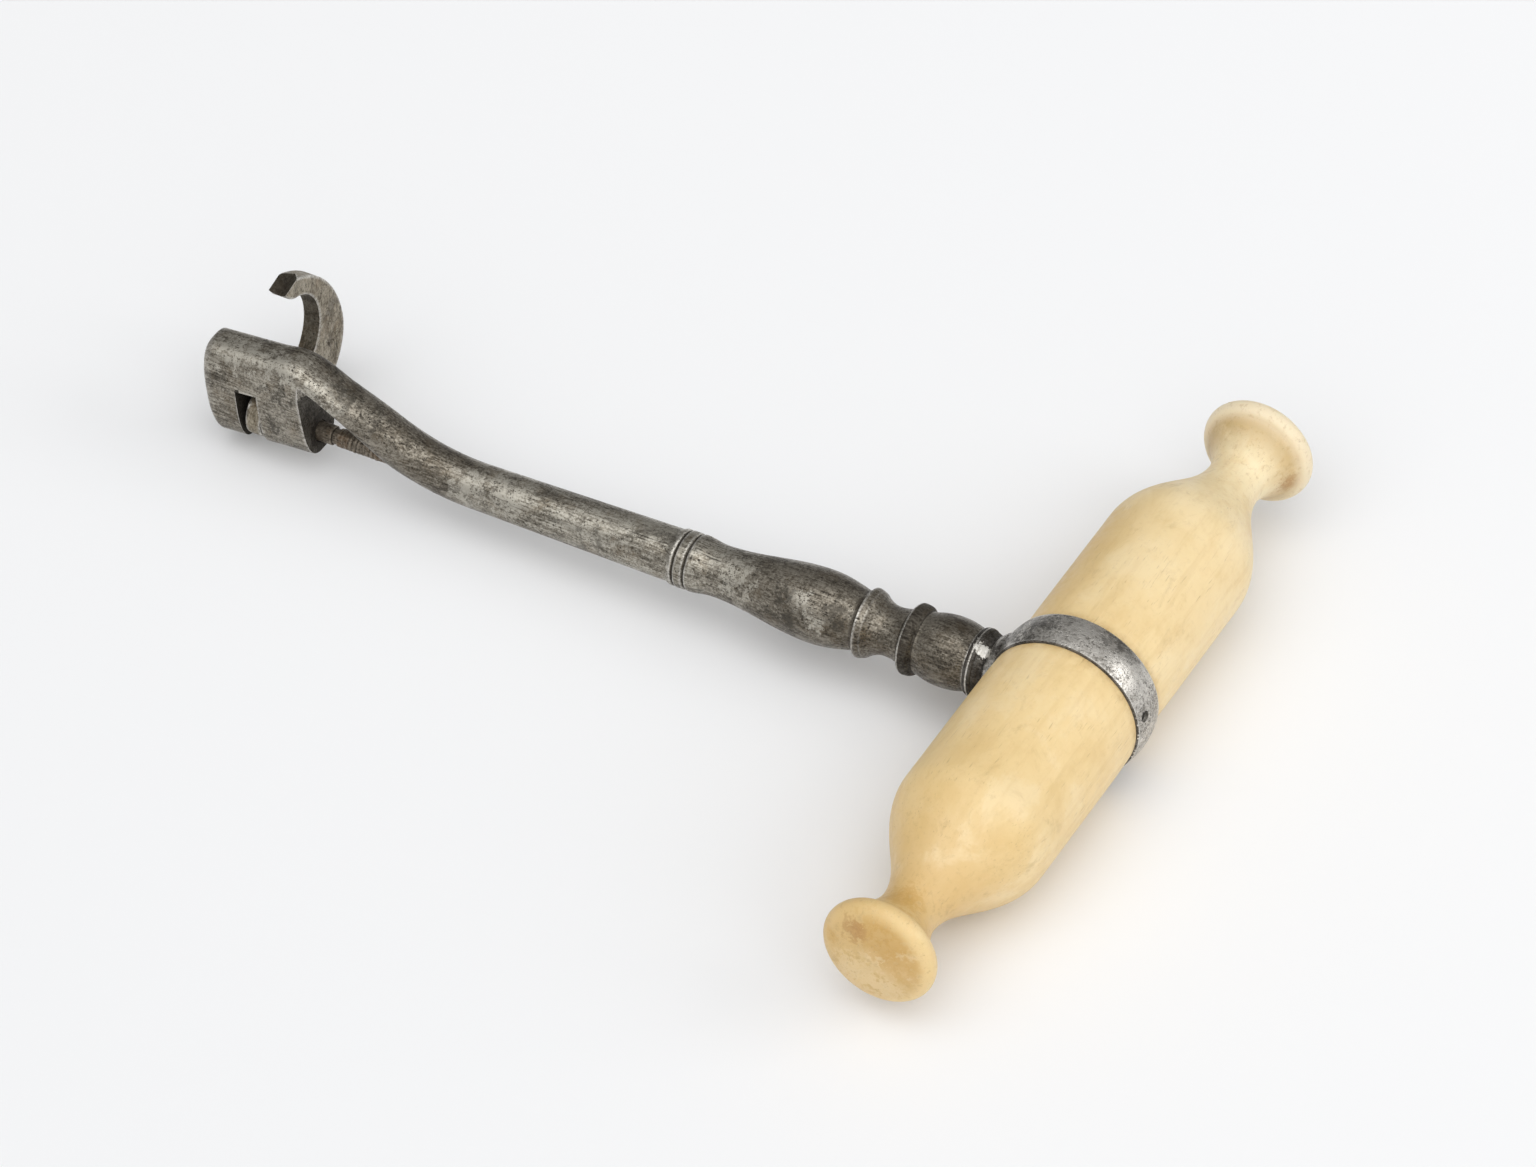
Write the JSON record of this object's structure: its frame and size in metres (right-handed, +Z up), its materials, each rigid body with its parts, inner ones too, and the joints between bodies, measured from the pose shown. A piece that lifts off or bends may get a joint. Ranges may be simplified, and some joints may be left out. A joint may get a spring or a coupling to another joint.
{
  "type": "dental key",
  "caption": "Old dental key: turned ivory cross handle banded to a baluster steel shaft, cranked to a slotted bolster in which a hooked claw swings on a long screw.",
  "frame": {"origin": "on the plane the tool lies on, under the middle of its box", "axes": "+X from the claw end to the handle, nearly along the shaft, which slopes down to the claw; +Y along the handle, to the side where the claw opens; +Z up"},
  "size_m": [0.1492, 0.1186, 0.0257],
  "materials": {
    "ivory": "aged ivory, hand polished, cream with amber ends",
    "dark_steel": "dark patina with bright worn edges",
    "steel": "worn, pitted grey-brown patina",
    "claw_steel": "tan-grey patina, filed flat sides"
  },
  "bodies": {
    "tool": {"handle": "ivory", "handle_band": "dark_steel", "band_pin": "dark_steel", "shaft": "steel", "claw_screw": "dark_steel"},
    "claw": {"claw": "claw_steel"}
  },
  "joints": [
    {"name": "claw_swing", "type": "hinge", "parent": "tool", "child": "claw", "pos_m": [-0.0664, -0.0005, 0.00695], "axis": [0.9993, 0, 0.0387], "range_deg": [-180, 50]}
  ]
}
